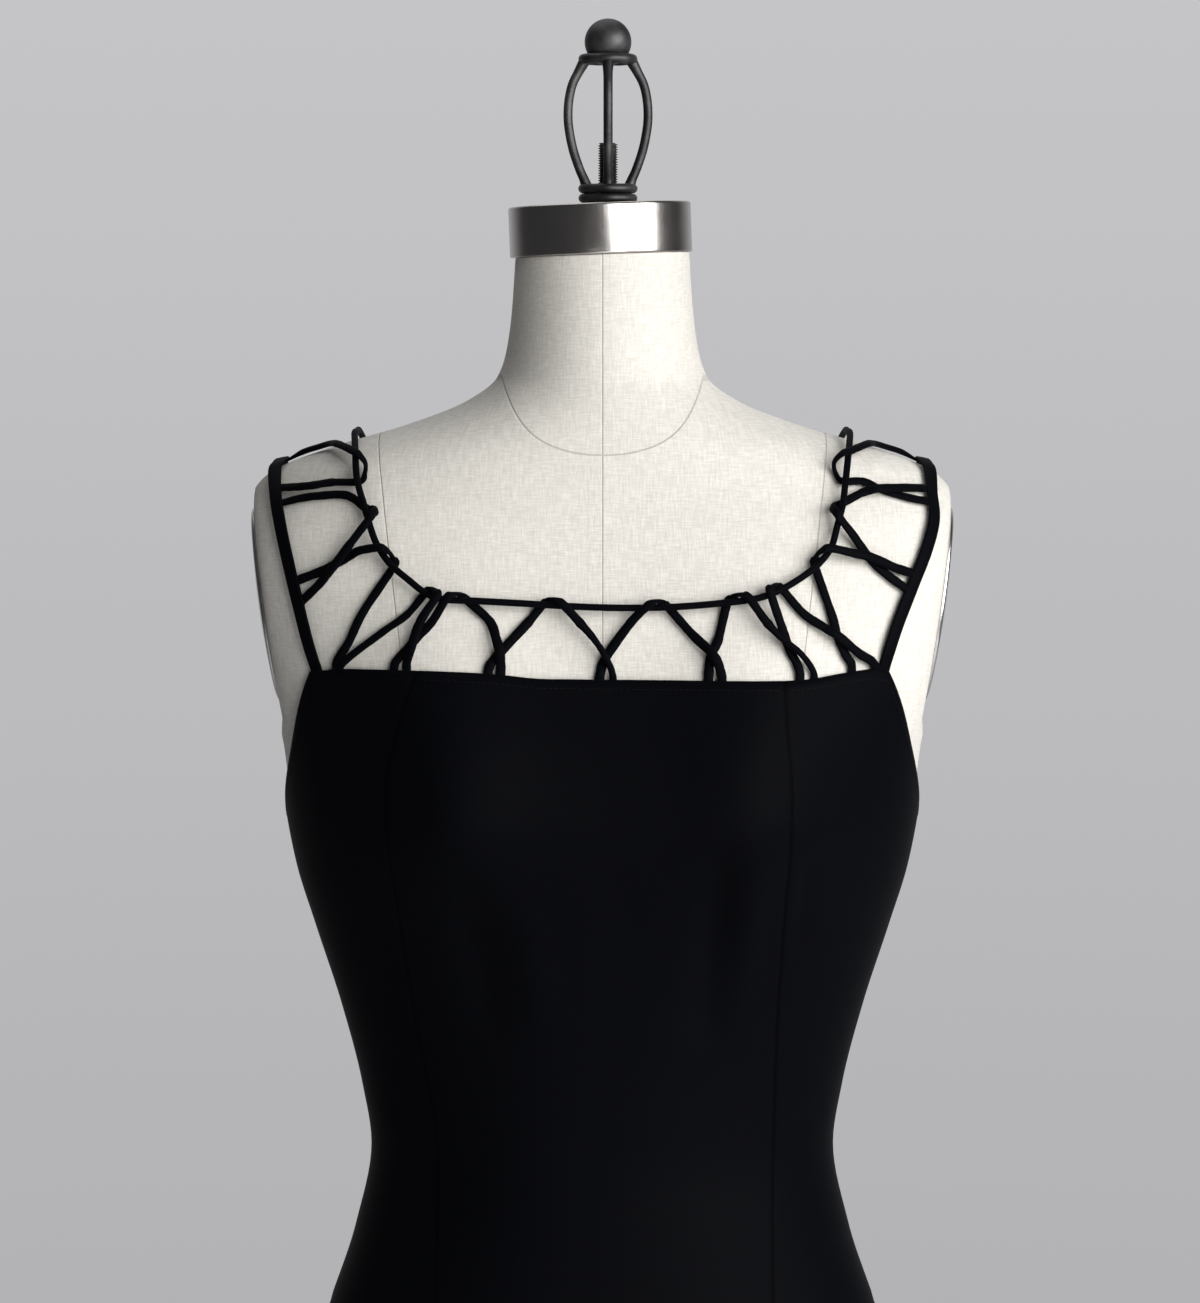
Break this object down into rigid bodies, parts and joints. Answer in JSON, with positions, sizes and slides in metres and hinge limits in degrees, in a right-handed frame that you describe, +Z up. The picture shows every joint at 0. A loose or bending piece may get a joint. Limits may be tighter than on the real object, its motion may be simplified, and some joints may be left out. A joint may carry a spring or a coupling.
{
  "type": "maxi dress on a dress form",
  "caption": "Sleeveless princess-seamed floor-length dress with a caged lattice neckline, worn on a limbless linen dress form with neck cap, cage finial, pole and round base.",
  "frame": {"origin": "centre of the stand's base on the floor, which is the bottom centre of the whole object's box", "axes": "+Z up, -Y the front of the dress, +X the wearer's left"},
  "size_m": [0.72, 0.6501, 1.631],
  "materials": {
    "crepe": "black matt crepe",
    "zip": "black nylon zip",
    "linen": "natural linen with slubs",
    "brushed_nickel": "brushed nickel",
    "polished_plate": "polished nickel",
    "blackened_steel": "blackened steel"
  },
  "bodies": {
    "root": {"arm_plate_left": "polished_plate", "arm_plate_right": "polished_plate", "back_lace_left_1": "crepe", "back_lace_left_2": "crepe", "back_lace_left_3": "crepe", "back_lace_left_4": "crepe", "back_lace_left_5": "crepe", "back_lace_right_1": "crepe", "back_lace_right_2": "crepe", "back_lace_right_3": "crepe", "back_lace_right_4": "crepe", "back_lace_right_5": "crepe", "back_zip": "zip", "centre_back_panel_left": "crepe", "centre_back_panel_right": "crepe", "finial_ball": "blackened_steel", "finial_base_ring": "blackened_steel", "finial_lower_ring": "blackened_steel", "finial_rod": "blackened_steel", "finial_upper_ring": "blackened_steel", "finial_wire_back": "blackened_steel", "finial_wire_front": "blackened_steel", "finial_wire_left": "blackened_steel", "finial_wire_right": "blackened_steel", "form_torso": "linen", "front_centre_panel": "crepe", "front_lace_left_1": "crepe", "front_lace_left_2": "crepe", "front_lace_left_3": "crepe", "front_lace_left_4": "crepe", "front_lace_left_5": "crepe", "front_lace_left_6": "crepe", "front_lace_right_1": "crepe", "front_lace_right_2": "crepe", "front_lace_right_3": "crepe", "front_lace_right_4": "crepe", "front_lace_right_5": "crepe", "front_lace_right_6": "crepe", "neck_cap": "brushed_nickel", "neckline_cord": "crepe", "shoulder_strap_left": "crepe", "shoulder_strap_right": "crepe", "side_back_panel_left": "crepe", "side_back_panel_right": "crepe", "side_front_panel_left": "crepe", "side_front_panel_right": "crepe", "stand_base": "blackened_steel", "stand_flange": "blackened_steel", "stand_pole": "blackened_steel", "zip_pull": "zip"}
  },
  "joints": []
}
